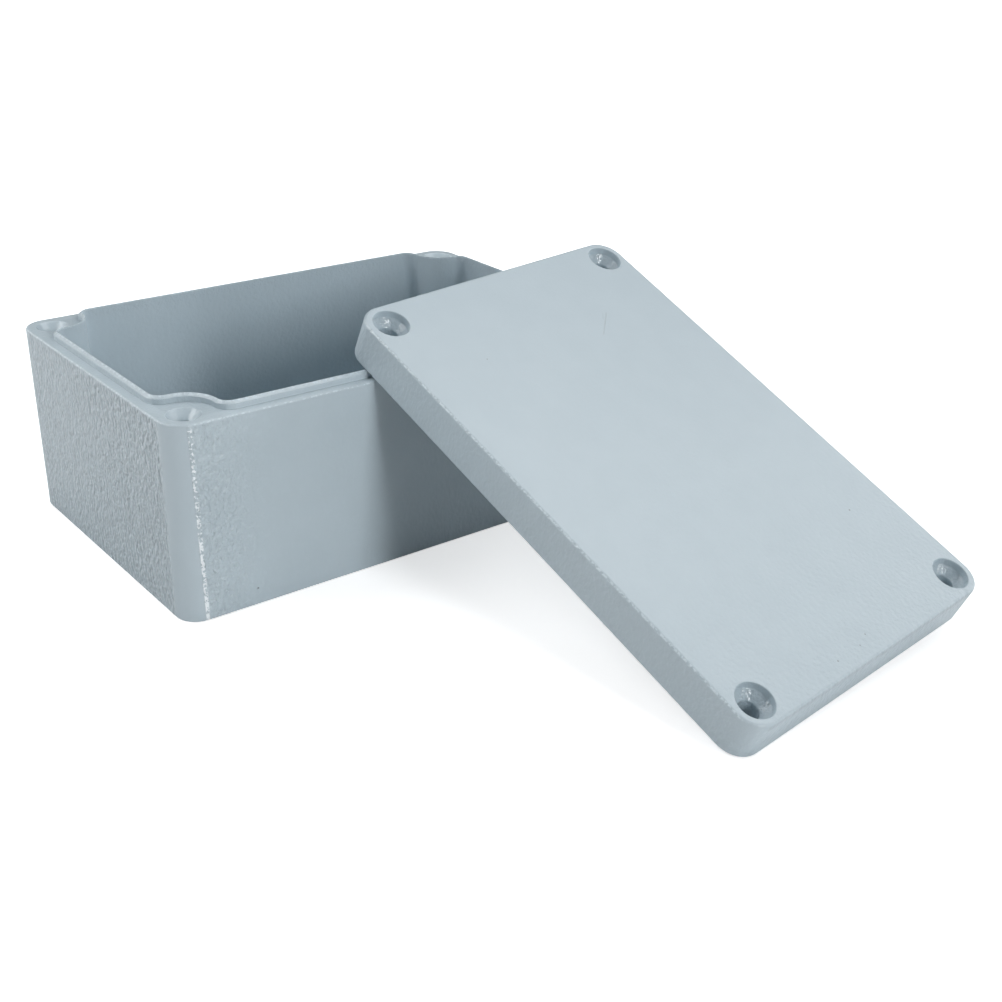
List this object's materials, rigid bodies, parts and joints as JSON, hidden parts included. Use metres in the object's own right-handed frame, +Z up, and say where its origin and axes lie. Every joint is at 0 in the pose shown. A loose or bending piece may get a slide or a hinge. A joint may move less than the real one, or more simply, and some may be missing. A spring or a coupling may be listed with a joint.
{
  "type": "die cast aluminium enclosure with lid",
  "caption": "Powder-coated die cast aluminium enclosure: a deep base with a sealing tongue and threaded corner bosses, and its gasketed lid taken off and leaning on the rim.",
  "frame": {"origin": "middle of the base's underside, on the surface that the base stands on", "axes": "+Z up out of the base's open mouth, +X along the long walls, -Y towards the side that the lid leans on"},
  "size_m": [0.1385, 0.1864, 0.0629],
  "materials": {
    "base": "silver-grey textured powder coat, satin",
    "lid": "silver-grey textured powder coat, satin",
    "gasket": "matt black chloroprene"
  },
  "bodies": {
    "root": {"base": "base", "lid": "lid", "gasket": "gasket"}
  },
  "joints": []
}
